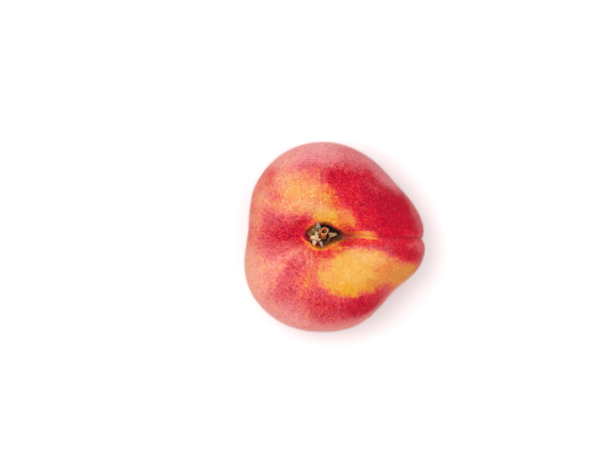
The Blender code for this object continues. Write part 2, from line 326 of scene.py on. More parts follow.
def keep(mesh, **layers):
    """Stores values, vectors or colours, one a vertex, for the material to read."""
    kinds = {1: ("FLOAT", "value"), 3: ("FLOAT_VECTOR", "vector"), 4: ("FLOAT_COLOR", "color")}
    for name, values in layers.items():
        values = np.asarray(values, np.float32)
        kind, field = kinds[values.size // len(values)]
        mesh.attributes.new(name, kind, "POINT").data.foreach_set(field, values.ravel())


def read(items, field, kind=np.float32):
    """Vectors, or the vertices of triangles, as rows of three."""
    found = np.empty(len(items) * (1 if kind is np.int32 else 3), kind)
    items.foreach_get(field, found)
    return found.reshape(-1, 3)


def corners_of(mesh):
    """The vertices of each triangle."""
    return read(mesh.loops, "vertex_index", np.int32)


def unit(rows, least=0):
    """The vectors, made 1 long."""
    return rows / (np.linalg.norm(rows, axis=-1, keepdims=True) + least)


def flat_on(rows, up):
    """The vectors without their part along up."""
    return rows - (rows * up).sum(axis=-1, keepdims=True) * up


class Nodes:
    """The node tree of one material, with short forms for the nodes that are used here."""

    def __init__(self, name):
        self.material = bpy.data.materials.new(name)
        self.material.use_nodes = True
        self.tree = self.material.node_tree
        self.shader = self.tree.nodes["Principled BSDF"]

    def add(self, kind, inputs, **settings):
        """A node with its settings, and with each input linked from a socket or set to a value."""
        node = self.tree.nodes.new(kind)
        for key, value in settings.items():
            setattr(node, key, value)
        for key, value in inputs.items():
            self.join(value, node.inputs[key])
        return node

    def join(self, value, socket):
        if isinstance(value, bpy.types.NodeSocket):
            self.tree.links.new(value, socket)
        else:
            socket.default_value = value

    def surface(self, **values):
        """Sets the shader's sockets; an underscore stands for a space."""
        for key, value in values.items():
            self.join(value, self.shader.inputs[key.replace("_", " ")])

    def place(self):
        """Position in the object's own space, in mm."""
        where = self.tree.nodes.new("ShaderNodeTexCoord").outputs["Object"]
        return self.add("ShaderNodeVectorMath", {0: where, "Scale": 1 / MM}, operation="SCALE").outputs[0]

    def attribute(self, name, output="Fac"):
        return self.add("ShaderNodeAttribute", {}, attribute_name=name).outputs[output]

    def parts(self, vector):
        return self.add("ShaderNodeSeparateXYZ", {0: vector}).outputs

    def math(self, operation, *values, clamp=False):
        inputs = dict(enumerate(values))
        return self.add("ShaderNodeMath", inputs, operation=operation, use_clamp=clamp).outputs[0]

    def times(self, a, b):
        return self.math("MULTIPLY", a, b)

    def minus(self, a, b):
        return self.math("SUBTRACT", a, b)

    def line(self, value, slope, start, clamp=False):
        """The value times the slope, plus the start."""
        return self.math("MULTIPLY_ADD", value, slope, start, clamp=clamp)

    def vector_math(self, operation, *values):
        return self.add("ShaderNodeVectorMath", dict(enumerate(values)), operation=operation).outputs[0]

    def stretch(self, vector, *factors):
        return self.vector_math("MULTIPLY", vector, factors)

    def remap(self, value, low, high, to_low=0, to_high=1):
        """A smooth step of value from low to high."""
        inputs = {"Value": value, "From Min": low, "From Max": high, "To Min": to_low, "To Max": to_high}
        return self.add("ShaderNodeMapRange", inputs, interpolation_type="SMOOTHSTEP").outputs["Result"]

    def blend(self, share, a, b):
        """From number a to number b."""
        return self.add("ShaderNodeMix", {0: share, 2: a, 3: b}, data_type="FLOAT").outputs[0]

    def mix(self, kind, share, a, b):
        return self.add("ShaderNodeMix", {0: share, 6: a, 7: b}, data_type="RGBA", blend_type=kind).outputs[2]

    def tint(self, share, *colours):
        """From one colour to the other; plain ones are given as sRGB numbers from 0 to 255."""
        return self.mix("MIX", share, *(linear(*c) if isinstance(c, tuple) else c for c in colours))

    def shade(self, share, colour, factor):
        """The colour times a number, or channel by channel times three."""
        return self.mix("MULTIPLY", share, colour, (*factor, 1) if isinstance(factor, tuple) else factor)

    def grain(self, vector, per_mm, detail=2, roughness=0.5, output="Fac"):
        """Noise of 0 to 1, mostly near 0.5."""
        inputs = {"Vector": vector, "Scale": per_mm, "Detail": detail, "Roughness": roughness}
        return self.add("ShaderNodeTexNoise", inputs).outputs[output]

    def ramp(self, value, stops):
        node = self.add("ShaderNodeValToRGB", {0: value})
        node.color_ramp.interpolation = "EASE"
        elements = node.color_ramp.elements
        elements.remove(elements[1])
        elements[0].position, elements[0].color = stops[0][0], linear(*stops[0][1])
        for position, colour in stops[1:]:
            elements.new(position).color = linear(*colour)
        return node.outputs["Color"]

    def warp(self, vector, per_mm, reach):
        """The vector moved about by noise, by up to half of reach."""
        shift = self.grain(vector, per_mm, detail=3, output="Color")
        shift = self.vector_math("SUBTRACT", shift, (0.5, 0.5, 0.5))
        shift = self.add("ShaderNodeVectorMath", {0: shift, "Scale": reach}, operation="SCALE").outputs[0]
        return self.vector_math("ADD", vector, shift)

    def within(self, vector, centre, halves, turn=0, soft=0.5):
        """1 inside an ellipsoid turned about Z, 0 outside, with an edge as soft as soft says."""
        turned, doubled = (0, 0, math.radians(turn)), [2 * half for half in halves]
        inputs = {"Vector": vector, "Location": centre, "Rotation": turned, "Scale": doubled}
        local = self.add("ShaderNodeMapping", inputs, vector_type="TEXTURE").outputs[0]
        near = self.add("ShaderNodeTexGradient", {"Vector": local}, gradient_type="SPHERICAL").outputs["Fac"]
        return self.remap(near, (1 - soft) / 2, (1 + soft) / 2)

    def bump(self, height, depth):
        """A normal for relief of that depth, in mm."""
        return self.add("ShaderNodeBump", {"Height": height, "Distance": depth * MM}).outputs["Normal"]


def linear(red, green, blue):
    """A colour given as sRGB numbers from 0 to 255, as the shaders take it."""
    channels = [c / 255 for c in (red, green, blue)]
    return (*[c / 12.92 if c <= 0.04045 else ((c + 0.055) / 1.055) ** 2.4 for c in channels], 1)


# The skin from ground colour to full blush.
BLUSH = (
    (0, (218, 172, 84)), (0.14, (216, 154, 40)), (0.32, (214, 120, 35)), (0.48, (213, 84, 42)),
    (0.62, (209, 42, 42)), (0.76, (195, 9, 42)), (0.9, (176, 2, 38)), (1, (148, 2, 36)),
)
PALE_GROUND = (238, 204, 176)
PALE_BLUSH = (240, 178, 195)
SKIN_BLUSH, SKIN_PALE = 0.74, 0.16  # where no patch is
SHEEN = (255, 226, 222)
LIP_BLUSH = 0.31  # on the golden edge of the pit
CREASE_LINE = (150, 8, 32)
STRETCH_PALE, STRETCH_DARK = (190, 84, 52), (158, 56, 38)
SCAR_BROWN = (96, 62, 34)
# What the skin's colour is multiplied by for painted light in the groove and on the pit's lip, and for
# painted shade where the pit opens.
GROOVE_PAINTED_LIGHT, LIP_PAINTED_LIGHT, FUNNEL_PAINTED_SHADE = (1.13, 1.05, 1.03), (1.4, 1.45, 1.35), (0.6, 0.56, 0.5)
# Waves a mm and reach in mm of the patches' drift; waves, detail and strength of the blotches and streaks.
DRIFT = ((0.15, 2.6), (0.6, 1.8))
BLOTCHES = ((0.24, 2, 0.3), (0.85, 4, 0.82), (2.2, 2, 0.34))
STREAKS = (1, 3, 0.56)
STREAK_ROUND, STREAK_DOWN = 24, 5  # the scale of the streaks round the fruit and down it
SPECKED = ((-13, 14, 33), (11, 7.5, 12))  # where light specks are thickest
SPECK_BLUSH, SPECK_PALE = -0.28, 0.3  # what a speck adds to the blush and the paleness

# What the skin shows where, painted in this order: centre and half sizes in mm, then in per cent how soft the
# edge is, how red the skin (0 ground colour, 100 full blush), how pale with down, and any turn in degrees.
PATCHES = (
    # The underside and the front and back flanks.
    ((4, -4, -2), (34, 30, 13), 45, 34, 26), ((-14, 33, 7), (13, 10, 10), 55, 42, 22),
    ((12, -32, 6), (13, 10, 9), 55, 38, 20),
    # The band along the top.
    ((-4, 31, 24), (21, 7, 13), 50, 69, 52), ((-18, 28.2, 23), (8.5, 5.2, 12), 50, 50, 50, 38),
    ((-8, 33.2, 20), (12, 3.6, 11), 50, 60, 54, 6), ((6, 30.5, 23), (8, 4.5, 12), 50, 72, 32, -18),
    ((-15, 25.4, 26), (4.6, 4, 9), 60, 42, 54, 20), ((6, 20.2, 32), (12.6, 7.6, 13), 40, 79, 0, -15),
    ((-2, 26.8, 26), (5, 3.2, 9), 60, 56, 52, -6), ((5, 25.6, 26), (6, 2.8, 9), 60, 72, 28, -10),
    # The right side and its shoulder; the paleness along the shoulder and the right rim is partly painted
    # sheen.
    ((21, 9, 28), (14, 12.5, 17), 45, 83, 0, -20), ((16, 13, 30), (7.5, 5.5, 12), 70, 87, 0),
    ((18.6, 23.4, 24), (8.8, 3.4, 12), 55, 79, 34, -45), ((13.6, 19.2, 30), (5.2, 2.6, 9), 70, 80, 8, -20),
    ((30.2, 9, 22), (11, 1.6, 12), 80, 79, 16, -68),
    # The left rim.
    ((-31, -1, 20), (5, 13, 16), 50, 52, 20), ((-28.6, 6.8, 25), (3.2, 4.2, 9), 60, 43, 28),
    ((-26.4, 17, 23), (10, 5, 13), 50, 47, 24, 59), ((-24.5, 13.4, 28), (4.8, 4.4, 8), 60, 35, 34, -20),
    ((-24.3, 22.5, 26), (1.5, 3.4, 8), 70, 60, 14, -15),
    # The red left of the pit.
    ((-18.4, 1.4, 33), (8.4, 5.7, 12), 28, 71, 10), ((-16, 1, 33), (8, 3.8, 12), 40, 81, 3),
    ((-12.2, 5, 33), (2.3, 3.6, 8), 50, 78, 1), ((-14, -0.4, 33), (2.8, 2.6, 8), 50, 81, 0),
    ((-18.8, 10, 33), (4, 2, 9), 60, 40, 26), ((-23.6, -4.2, 31), (5.6, 2.8, 10), 60, 70, 14),
    ((-16.8, -2.8, 33), (3.4, 1.6, 8), 70, 62, 16, 20),
    # The lower left and the bottom.
    ((-28.2, -14.5, 22), (10, 11.5, 16), 45, 41, 46, 10),
    ((-22.8, -10.6, 29), (5.6, 3.4, 9), 60, 32, 36, -14), ((-15.4, -15.4, 29), (3.3, 7.4, 13), 50, 65, 17, 8),
    ((-15.8, -11.8, 30), (1.9, 2.2, 9), 70, 66, 12), ((-17, -19.8, 28), (2.4, 3, 9), 70, 74, 10),
    ((-21.8, -11.6, 29), (3.4, 6.2, 10), 70, 42, 42), ((-17, -29, 20), (13.5, 6.5, 14), 50, 53, 54, -26),
    ((-3, -34.5, 18), (14, 4.2, 13), 50, 60, 40),
    # Ground colour at the upper left, with gold and specks.
    ((-12.5, 16.8, 33), (9.6, 8, 13), 36, 28, 22, -10), ((-14.8, 23.6, 31), (4, 2.4, 9), 60, 37, 34, 10),
    ((-19.3, 21.8, 31), (3, 4.6, 10), 70, 34, 34, -20), ((-13.4, 16.4, 33), (4.2, 3.2, 8), 70, 18, 18),
    ((-6.6, 17.4, 33), (3.8, 3, 8), 70, 17, 15), ((-14, 12, 33), (10, 2.8, 9), 40, 30, 26, -4),
    ((-14.4, 9.8, 33), (2, 1.3, 8), 80, 46, 14), ((-8, 24, 31), (4.4, 2.2, 8), 70, 46, 20),
    # Orange and red between it and the right side.
    ((-2.8, 14.6, 34), (3.2, 4.4, 9), 50, 31, 8, 25), ((-1.2, 16.8, 33), (3.2, 1.4, 8), 70, 50, 4, -51),
    ((1, 12.2, 34), (2, 3.2, 9), 70, 50, 2, 30), ((6.4, 13.4, 34), (4, 5.4, 9), 60, 75, 0, 20),
    ((10.6, 7.4, 34), (4.6, 4.4, 9), 60, 75, 0),
    # The pit's upper side, and along the suture.
    ((-2.4, 8.2, 33), (7, 3.1, 8), 40, 14, 10), ((-9.2, 3.8, 31), (2.8, 2.1, 8), 60, 38, 12, -20),
    ((-5, 10, 33), (2.2, 3, 8), 70, 16, 24), ((3.4, 8.6, 34), (2.4, 3, 8), 70, 30, 14),
    ((4.8, 6.2, 35), (3.8, 2.6, 8), 60, 37, 7, -25), ((10.4, 0.4, 36), (5.2, 2.3, 8), 45, 20, 12, -7),
    ((4.9, 2.6, 33), (4.2, 1.7, 7), 60, 62, 0, -12),
    # Orange below the pit, and red down to the rim.
    ((-11, -16.2, 30), (3.6, 7.6, 12), 60, 43, 12, -6), ((-9.9, -15.8, 29), (1.9, 2.8, 8), 70, 36, 6),
    ((-3, -24, 26), (11, 6.8, 12), 34, 71, 0, 10), ((-16, -25.8, 25), (7.6, 3.2, 10), 70, 53, 40, -8),
    ((-4, -28.6, 25), (5.4, 3.2, 10), 70, 70, 12), ((8.4, -31.4, 18), (10, 4.4, 12), 50, 62, 38, 18),
    ((7.4, -24.4, 26), (10.4, 6.2, 12), 22, 82, 0, 14), ((17, -26.6, 16), (8.5, 3.4, 12), 50, 70, 28, 44),
    ((14.4, -21.4, 24), (5.4, 3.2, 12), 40, 72, 4, 38), ((-8, -21.4, 27), (5.4, 3.6, 10), 50, 71, 0, 10),
    ((-5.2, -14.6, 30), (4.2, 6, 10), 50, 38, 18, 20),
    # The golden field.
    ((25.6, -13.4, 22), (6, 4.8, 10), 50, 27, 8, 45), ((23.8, -18.2, 18), (6, 2.4, 8), 60, 26, 40, 46),
    ((20.2, -11.8, 26), (9.6, 6.6, 12), 40, 22, 8, 10), ((17.8, -13.6, 27), (4.6, 3.6, 10), 70, 24, 6),
    ((4.8, -13.2, 30), (13.9, 9.3, 14), 20, 10, 10), ((0, -17.9, 29), (7, 5.2, 12), 26, 16, 5, -34),
    ((-2, -12.4, 31), (2.8, 5.4, 9), 70, 25, 24, 6), ((12.8, -7.8, 30), (9, 3.9, 12), 30, 13, 14, -4),
    ((5.8, -19, 28), (9, 5.4, 12), 16, 15, 0, 8), ((12.6, -17.8, 29), (4, 3.4, 9), 60, 23, 0, 20),
    ((-5.4, -5.8, 33), (6, 2.8, 8), 40, 62, 9, -8), ((8.2, -6.1, 31), (6.2, 2.4, 9), 40, 18, 14, -3),
    ((11.4, -7.6, 31), (7, 3.6, 9), 50, 11, 26, -8), ((-5, -10.4, 32), (3.4, 2.2, 8), 70, 45, 16, -20),
    ((1.4, -3.9, 33), (2.7, 1.1, 8), 70, 35, 2, 8),
    # The notch and the right flank.
    ((26.8, -5, 28), (6.2, 4.4, 14), 35, 79, 2, -14), ((31.8, -3, 26), (2.2, 3, 9), 70, 72, 16),
    ((27.8, -3.4, 26), (1.8, 1, 8), 70, 72, 16, -10), ((29, -17, 6), (13, 13, 10), 42, 67, 20, 45),
    ((30, 12, 7), (10, 9, 7), 60, 84, 6, -50),
    # The end of the pit.
    ((11, -2, 35), (9.4, 1.3, 7), 45, 66, 4, -2), ((4, -2.3, 33), (3.2, 1, 7), 60, 70, 0, -6),
    ((0.8, 5.4, 33), (3, 1.3, 8), 70, 34, 0, -25), ((3.6, 3.9, 33), (2, 1.5, 8), 70, 52, 0, -25),
    # A pale scar, a dot and two stripes.
    ((-15.8, -5.9, 33), (5.6, 1.3, 7), 90, 40, 40, 26), ((-13.2, -7.8, 33), (1.8, 1.3, 5), 80, 32, 48),
    ((-10.3, -7.4, 33), (0.6, 4.4, 7), 90, 42, 32), ((-8.8, -7.6, 33), (0.5, 2.8, 7), 90, 46, 34),
)
# Where the skin is less grainy: centres and half sizes. Then by how much its blotches and its bloom are.
CALM = (((23, 4, 26), (13, 17, 20)), ((10, -14, 28), (17, 10, 14)))
CALM_BLOTCHES, CALM_BLOOM = -0.38, -0.4
# The pit's walls at the left, upper left, bottom, lower left and right end: centre, half sizes and colour.
# The wall colours are partly painted light, lightest on the upper left wall.
PIT_WALLS = (
    ((-11.2, 0.8, 31), (2.4, 3.4, 8), (214, 40, 72)),
    ((-9.4, 3.6, 31), (2.8, 2.2, 8), (252, 112, 92)),
    ((-1.2, -2, 31), (5.4, 1.8, 8), (146, 70, 38)),
    ((-6.6, -3.4, 31), (2.4, 1.5, 8), (196, 44, 46)),
    ((2.6, -0.2, 33), (2.4, 1.6, 8), (128, 78, 52)),
)
# The brown lining deep in the pit, darkened as painted shade of the hollow.
PIT_LINING_AND_SHADE = (44, 38, 30)
# How much deeper the skin's colour runs into the pit: centre, half sizes and share of the lip's radius.
PIT_EDGES = (
    ((-8.4, 4.8, 32), (3.2, 2.4, 8), 0.36), ((-1.4, -3.2, 32), (3.2, 1.8, 8), 0.2),
    ((-6, -4.4, 32), (2.6, 1.4, 8), 0.2), ((-11.4, 0.8, 32), (1.6, 3, 8), -0.13),
    ((-10.6, 4.2, 32), (2.2, 1.6, 8), 0.26), ((2.6, -0.4, 32), (2, 1.5, 8), -0.14),
    ((-3.2, 5.6, 32), (2.4, 1.4, 8), 0.15),
)
PIT_AXIS = (-4.4, 0.8)
BLOSSOM_SCAR = ((*PIT_AXIS, 6), (2.2, 2.2, 4.5))
STRETCHED = ((4.7, 0.2, 34), (3.8, 1.4, 7))  # the lines that run out of the pit
FUNNEL = ((2.6, 0.2, 33), (3.4, 2.6, 8))  # where the pit opens, darkened there as painted shade
CREASE_MIDDLE = 17  # where its line is faintest, along X


def blush_and_down(n, place):
    """How red and how pale the skin is at a place."""
    drifting = place
    for per_mm, reach in DRIFT:
        drifting = n.warp(drifting, per_mm, reach)
    blush, pale = SKIN_BLUSH, SKIN_PALE
    for centre, halves, soft, red, down, *turn in PATCHES:
        here = n.within(drifting, centre, halves, *turn, soft=soft / 100)
        blush = n.blend(here, blush, red / 100)
        pale = n.blend(here, pale, down / 100)
    return blush, pale


def blotched(n, place, blush, calm):
    """The blush with the blotches, grains and streaks in which it meets the ground colour."""
    middle = n.line(n.times(blush, n.minus(1, blush)), 3.4, 0.16)
    middle = n.times(middle, n.line(calm, CALM_BLOTCHES, 1))
    streak = n.attribute("streak", "Vector")
    for source, per_mm, detail, depth in (*((place, *kind) for kind in BLOTCHES), (streak, *STREAKS)):
        swing = n.times(n.minus(n.grain(source, per_mm, detail, 0.6), 0.5), depth)
        blush = n.line(swing, middle, blush)
    return blush


def specks(n, place, blush):
    """Light specks, thickest over the upper left."""
    over = n.within(n.warp(place, 0.3, 3), *SPECKED)
    some = n.times(n.remap(n.grain(place, 0.16, 1), 0.45, 0.62), 0.5)
    cells = n.add("ShaderNodeTexVoronoi", {"Vector": n.warp(place, 1.1, 0.7), "Scale": 0.78})
    speck = n.remap(cells.outputs["Distance"], 0.42, 0.12)
    speck = n.times(speck, n.remap(n.grain(place, 0.55, 2), 0.42, 0.56))
    return n.times(n.times(speck, n.math("MAXIMUM", over, some)), n.remap(blush, 0.8, 0.45))


def bloomed(n, place, blush, pale, speck, calm):
    """The skin's colour under its bloom of down, cloudy and grainy; the grain shows most over the blush."""
    colour = n.ramp(blush, BLUSH)
    down = n.tint(blush, PALE_GROUND, PALE_BLUSH)
    fine = n.minus(n.grain(place, 1.5, 2, 0.75), 0.5)
    strength = n.math("ADD", n.line(blush, 1.15, 0.06), pale)
    fine = n.times(fine, n.times(strength, n.line(calm, CALM_BLOOM, 1)))
    pale = n.times(pale, n.line(n.grain(place, 0.9, 3, 0.65), 1.3, 0.35))
    pale = n.line(fine, 0.5, n.line(speck, SPECK_PALE, pale))
    pale = n.line(n.minus(n.grain(place, 0.7, 2), 0.6), 0.16, pale, clamp=True)
    return n.shade(1, n.tint(pale, colour, down), n.line(fine, 0.7, 1))


def creased(n, place, x, in_pit, colour):
    """The colour with the line at the bottom of the crease, strongest by the pit and at the notch, and
    with painted light in the groove and on the pit's lip."""
    offset = n.math("ABSOLUTE", n.attribute("crease"))
    line = n.remap(n.line(n.grain(place, 1.3, 3), 0.9, offset), 0.85, 0.35)
    line = n.times(line, n.remap(in_pit, 1.3, 1.8))
    ends = n.remap(n.math("ABSOLUTE", n.minus(x, CREASE_MIDDLE)), 2, 15, 0.18, 0.75)
    colour = n.tint(n.times(line, ends), colour, CREASE_LINE)
    # Painted light in the groove along the suture.
    groove = n.times(n.remap(offset, 5.5, 1), n.remap(in_pit, 1.1, 1.7))
    colour = n.shade(n.times(groove, n.remap(x, 4, 9)), colour, GROOVE_PAINTED_LIGHT)
    # Painted light on the pit's lip, most on its left side.
    rim = n.times(n.remap(in_pit, 0.8, 0.94), n.remap(in_pit, 1.18, 1))
    return n.shade(n.times(rim, n.remap(x, -5, -8.5, 0.1, 1)), colour, LIP_PAINTED_LIGHT)


def opened(n, place, colour):
    """The colour with the tan stretch lines that run out of the pit along the suture, and painted shade,
    browner and darker, where the pit opens into it."""
    pleat = n.remap(n.grain(n.stretch(place, 0.16, 2, 0.3), 1, 3, 0.6), 0.44, 0.6)
    near = n.within(place, *STRETCHED, soft=0.6)
    colour = n.tint(n.times(near, 0.3), colour, STRETCH_PALE)
    colour = n.tint(n.times(n.times(pleat, near), 0.8), colour, STRETCH_DARK)
    # Painted shade where the pit opens.
    return n.shade(n.within(place, *FUNNEL, soft=0.9), colour, FUNNEL_PAINTED_SHADE)


def pitted(n, place, in_pit, colour):
    """The colour with the pit: lining dark with painted shade, walls partly lightened as painted light."""
    wall = PIT_LINING_AND_SHADE
    for *spot, tone in PIT_WALLS:
        wall = n.tint(n.within(place, *spot), wall, tone)
    wall = n.shade(1, wall, n.line(n.grain(place, 2, 4, 0.7), 1.1, 0.45))
    edge = n.line(n.grain(place, 0.9, 3), 0.2, in_pit)
    for *spot, deeper in PIT_EDGES:
        edge = n.line(n.within(place, *spot, soft=0.6), deeper, edge)
    return n.tint(n.remap(edge, 1.07, 0.95), colour, wall)


def skin_material():
    """Blush over ground colour, mottled, streaked away from the stalk and specked, with a bloom of down."""
    n = Nodes("peach_skin")
    place = n.place()
    blush, pale = blush_and_down(n, place)

    # The golden edge of the pit, on its lower side; all round the pit the skin is barer.
    in_pit = n.attribute("in_pit")
    x, y, _ = n.parts(place)
    lip = n.times(n.remap(in_pit, 0.7, 0.92), n.remap(in_pit, 1.28, 1.02))
    lip = n.times(lip, n.remap(y, 1.4, -1.2))
    blush = n.blend(lip, blush, LIP_BLUSH)
    pale = n.times(n.blend(lip, pale, 0), n.remap(in_pit, 1, 2.2, 0.3, 1))

    calm = n.math("MAXIMUM", *(n.within(place, *spot) for spot in CALM))
    blush = blotched(n, place, blush, calm)
    speck = specks(n, place, blush)
    blush = n.line(speck, SPECK_BLUSH, blush, clamp=True)
    colour = bloomed(n, place, blush, pale, speck, calm)
    colour = creased(n, place, x, in_pit, colour)
    colour = opened(n, place, colour)
    colour = pitted(n, place, in_pit, colour)
    colour = n.tint(n.within(place, *BLOSSOM_SCAR, soft=0.4), colour, SCAR_BROWN)

    height = n.line(n.grain(place, 0.8, 2), 1.5, n.grain(place, 2.8, 3, 0.6))
    n.surface(
        Base_Color=colour, Normal=n.bump(height, 0.1),
        Roughness=n.remap(n.grain(place, 1.1, 3), 0.2, 0.8, 0.6, 0.82),
        Specular_IOR_Level=0.06, Sheen_Weight=0.04, Sheen_Roughness=0.35, Sheen_Tint=linear(*SHEEN),
        Subsurface_Weight=0.1, Subsurface_Radius=(1, 0.3, 0.15), Subsurface_Scale=1.4 * MM,
    )
    return n.material


def build_skin(material):
    """The fruit's skin, with what its material reads: in_pit, crease and streak."""
    theta, phi = grid_angles()
    turn, fall = np.meshgrid(theta, phi)
    points, in_pit, crease = fruit_surface(turn, fall)
    ends, end_pit, _ = fruit_surface(np.zeros(2), np.array([1e-6, math.pi - 1e-6]))
    points = np.concatenate((points.reshape(-1, 3), ends))
    in_pit = np.append(in_pit, end_pit)
    crease = np.append(crease, (0, 0))
    turn = np.append(turn, (0, 0))
    fall = np.append(fall, (0, math.pi))

    # Set where the construction has it, and rest it on its flat spot.
    low, high = (np.array(corner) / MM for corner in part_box("fruit"))
    rest = points[:, 2].min() + FLAT_CUT
    base = np.append((points.min(axis=0) + points.max(axis=0))[:2] / 2 - (low + high)[:2] / 2, rest)
    points -= base
    skin = mesh_from("peach_skin", points * MM, tube_faces(len(phi), AROUND, flip=True), material)
    normals = read(skin.data.vertex_normals, "vector")

    # The small relief: dimples all over, and puckers round the pit.
    lift = noises(points, DIMPLES)
    start, top, stop = PLEAT_REACH
    near = smooth_step(start, top, in_pit) * (1 - smooth_step(top, stop, in_pit))
    wander = noise_at(points, PLEAT_WANDER[0], start=3)
    lift = lift + PLEATS[0] * near * np.sin(PLEATS[1] * turn + PLEAT_WANDER[1] * wander)
    points = points + normals * lift[:, None]
    points[:, 2] = np.maximum(points[:, 2], 0)
    skin.data.vertices.foreach_set("co", (points * MM).astype(np.float32).ravel())

    streak = columns(np.cos(turn) * STREAK_ROUND, np.sin(turn) * STREAK_ROUND, fall * STREAK_DOWN)
    keep(skin.data, in_pit=in_pit, crease=crease, streak=streak, round=columns(turn, fall, in_pit))
    skin.data.update()
    return skin, base


def disc_place(turn, fall, upper):
    """Where a point of the skin lies on the flat map: upper side in the left disc, underside in the right."""
    far = np.where(upper, fall, math.pi - fall) / (math.pi / 2) * DISC_RADIUS
    return columns(np.where(upper, 0.25, 0.75) + far * np.cos(turn), 0.5 + 2 * far * np.sin(turn))


def map_flat(obj, places):
    """The flat map, one place a face corner."""
    layer = obj.data.uv_layers.new(name="OFBake")
    layer.uv.foreach_set("vector", places.astype(np.float32).ravel())


def map_skin(skin):
    """Lays the skin out as two discs."""
    stored = read(skin.data.attributes["round"].data, "vector")
    turn, fall, _ = stored[corners_of(skin.data)].transpose(2, 0, 1)
    upper = np.repeat(fall.mean(axis=1, keepdims=True) < math.pi / 2, 3, axis=1)
    map_flat(skin, disc_place(turn, fall, upper).reshape(-1, 2))


def down_material():
    """Pale hairs, which take on much of the colour of the skin they stand on."""
    n = Nodes("peach_down")
    place = n.place()
    blush, pale = blush_and_down(n, place)
    white = n.tint(n.remap(n.grain(place, 0.5, 3), 0.35, 0.65), (255, 236, 226), (250, 208, 204))
    _, _, height = n.parts(place)
    # Painted sheen: the hairs are whiter round the flank.
    middle, low, high, most = HAIR_FLANK_SHEEN
    flank_sheen = n.remap(n.math("ABSOLUTE", n.minus(height, middle)), low, high, 0, most)
    share = n.math("ADD", n.remap(pale, 0, 0.4, *HAIR_WHITE), flank_sheen)
    n.surface(
        Base_Color=n.tint(share, n.ramp(blush, BLUSH), white), Specular_IOR_Level=0.1,
        Roughness=n.remap(n.grain(place, 3), 0.3, 0.7, 0.45, 0.7), Normal=n.bump(n.grain(place, 6), 0.01),
    )
    return n.material


def hair_points(rng, points, normals, found, grown):
    """Slim three-sided spikes, one at random on each triangle found: three root points, then the tip."""
    share = rng.random((HAIRS_EACH, 2))
    share = np.where(share.sum(axis=1, keepdims=True) > 1, 1 - share, share)
    weight = columns(1 - share.sum(axis=1), share[:, 0], share[:, 1])[:, :, None]
    root = (points[found] * weight).sum(axis=1)
    up = unit((normals[found] * weight).sum(axis=1))
    side = unit(flat_on(rng.normal(size=(HAIRS_EACH, 3)), up))
    away = unit(flat_on(root - np.array((*PIT_AXIS, 0)), up), least=1e-6)
    tilt = np.tan(np.radians(HAIR_TILT * np.sqrt(rng.random((HAIRS_EACH, 1)))))
    grow = unit(up + side * tilt + away * math.tan(math.radians(HAIR_LAY)))
    length = rng.uniform(*HAIR_LENGTH, HAIRS_EACH) * (HAIR_SHORT + (1 - HAIR_SHORT) * grown[found[:, 0]])
    tip = root + grow * length[:, None]
    root = root - up * HAIR_ROOT
    across = np.cross(grow, side)
    turns = np.radians((0, 120, 240))
    ring = [root + HAIR_WIDTH / 2 * (side * math.cos(t) + across * math.sin(t)) for t in turns]
    return np.stack((*ring, tip), axis=1)


def build_down(skin, material):
    """Hairs set at random over the skin outside the pit."""
    mesh = skin.data
    triangles = corners_of(mesh)
    points, normals = read(mesh.vertices, "co") / MM, read(mesh.vertex_normals, "vector")
    stored = read(mesh.attributes["round"].data, "vector")
    a, b, c = (points[triangles[:, i]] for i in range(3))
    grown = smooth_step(*HAIR_CLEAR, stored[:, 2])
    area = np.linalg.norm(np.cross(b - a, c - a), axis=1) / 2 * grown[triangles[:, 0]]
    chance = np.cumsum(area) / area.sum()
    rng = np.random.default_rng(DOWN_SEED)
    for piece in range(DOWN_PIECES):
        found = triangles[np.searchsorted(chance, rng.random(HAIRS_EACH))]
        hair = hair_points(rng, points, normals, found, grown)
        clear = hair[:, 3, 2] > HAIR_ABOVE
        first = np.arange(clear.sum())[:, None, None] * 4
        faces = (first + np.array(((0, 2, 1), (0, 1, 3), (1, 2, 3), (2, 0, 3)))).reshape(-1, 3)
        down = mesh_from(f"down_{piece + 1}", hair[clear].reshape(-1, 3) * MM, faces, material)
        turn, fall, _ = stored[found[clear, 0]].T
        flat = disc_place(turn, fall, fall < math.pi / 2)
        corner = np.array(((0, 0), (1, 0), (0, 1), (1, 1))) * HAIR_ON_MAP
        spread = (flat[:, None, :] + corner).reshape(-1, 2)
        map_flat(down, spread[corners_of(down.data).ravel()])
        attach(down, "root")


def stalk_material():
    """Torn woody fibre: orange-brown outside, pale on the torn edge and dark red in the hollow."""
    n = Nodes("stalk_wood")
    place = n.place()
    bark = n.attribute("bark", "Vector")
    east, _, height = n.parts(bark)
    fibre = n.grain(n.stretch(bark, 1, 1, 0.5), 2.2, 4, 0.65)
    colour = n.ramp(fibre, (
        (0.3, (128, 58, 30)), (0.44, (200, 106, 54)), (0.56, (230, 142, 76)), (0.7, (248, 192, 122)),
    ))
    colour = n.tint(n.remap(n.grain(place, 0.9, 2), 0.5, 0.7, 0, 0.6), colour, (206, 76, 46))
    colour = n.tint(n.remap(east, 0.1, 0.8, 0, 0.7), colour, (184, 58, 38))
    colour = n.tint(n.times(n.attribute("torn"), n.remap(fibre, 0.4, 0.6)), colour, (240, 190, 122))
    colour = n.tint(n.attribute("hollow"), colour, (84, 16, 14))
    colour = n.tint(n.attribute("pith"), colour, (160, 126, 60))
    colour = n.tint(n.times(n.remap(height, 1.8, 0.1), 0.7), colour, (62, 40, 26))
    n.surface(
        Base_Color=colour, Roughness=n.remap(fibre, 0.3, 0.7, 0.85, 0.6), Specular_IOR_Level=0.25,
        Normal=n.bump(n.grain(n.stretch(bark, 1, 1, 0.4), 5, 4, 0.7), 0.12),
    )
    return n.material


